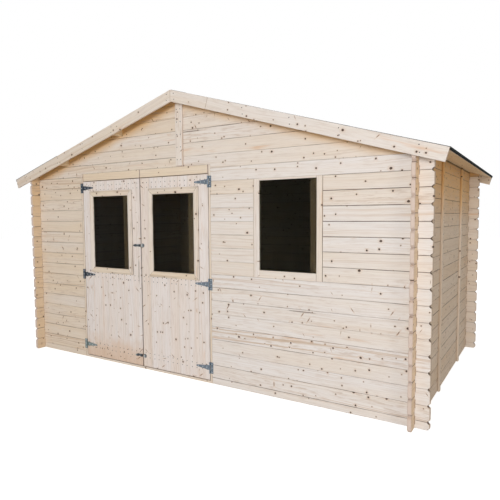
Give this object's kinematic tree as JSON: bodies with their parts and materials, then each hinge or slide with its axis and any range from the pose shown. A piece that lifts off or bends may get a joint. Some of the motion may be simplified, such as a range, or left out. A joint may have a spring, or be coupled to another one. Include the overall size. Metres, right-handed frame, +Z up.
{
  "type": "garden shed",
  "caption": "Wooden garden shed of pale boards crossing at the corners, with a low gable roof, a glazed double door and a fixed window in the front.",
  "frame": {"origin": "centre of the footprint on the ground", "axes": "+X along the front to the right as seen from outside, +Y to the back, +Z up"},
  "size_m": [4.5274, 2.68, 2.5565],
  "materials": {
    "wall_wood": "bare planed softwood boards, pale, with small knots",
    "trim_wood": "bare planed softwood, slightly yellower",
    "roof_wood": "bare planed softwood",
    "door_wood": "bare planed softwood boards, pale",
    "door_trim": "planed softwood moulding",
    "felt": "mineral roofing felt, dark green-black, matt",
    "pane": "plain clear glass, dark against the room",
    "dark_hinge": "black painted steel",
    "zinc_hinge": "galvanised steel, dull"
  },
  "bodies": {
    "shed": {"front_wall_left": "wall_wood", "front_wall_lower": "wall_wood", "front_wall_pier": "wall_wood", "front_wall_right": "wall_wood", "front_wall_lintel": "wall_wood", "front_gable_left": "wall_wood", "front_gable_right": "wall_wood", "back_gable_left": "wall_wood", "back_gable_right": "wall_wood", "back_wall": "wall_wood", "left_wall": "wall_wood", "right_wall": "wall_wood", "gable_cover_strips": "trim_wood", "side_wall_battens": "trim_wood", "door_jambs": "trim_wood", "door_threshold": "trim_wood", "door_head_boards": "trim_wood", "door_stops": "trim_wood", "window_stiles": "trim_wood", "window_rails": "trim_wood", "ridge_purlin": "roof_wood", "slope_purlins": "roof_wood", "roof_boards_left": "roof_wood", "roof_boards_right": "roof_wood", "front_bargeboard_left": "roof_wood", "front_bargeboard_right_upper": "roof_wood", "front_bargeboard_right_lower": "roof_wood", "back_bargeboard_left": "roof_wood", "back_bargeboard_right": "roof_wood", "roof_felt_left": "felt", "roof_felt_right": "felt", "window_glass": "pane", "left_hinge_plates": "dark_hinge", "right_hinge_plates": "zinc_hinge"},
    "left_door": {"left_door_leaf": "door_wood", "left_door_glass": "pane", "left_door_trim": "door_trim", "left_door_ledges": "door_wood", "left_hinge_straps": "dark_hinge", "left_door_bolts": "zinc_hinge"},
    "right_door": {"right_door_leaf": "door_wood", "right_door_glass": "pane", "right_door_trim": "door_trim", "right_door_ledges": "door_wood", "right_hinge_straps": "zinc_hinge", "right_door_keepers": "zinc_hinge"}
  },
  "joints": [
    {"name": "left_door_hinge", "type": "hinge", "parent": "shed", "child": "left_door", "pos_m": [-1.303, -1.2205, 0.93], "axis": [0, 0, -1], "range_deg": [0, 165]},
    {"name": "right_door_hinge", "type": "hinge", "parent": "shed", "child": "right_door", "pos_m": [0.303, -1.2205, 0.93], "axis": [0, 0, 1], "range_deg": [0, 165]}
  ]
}
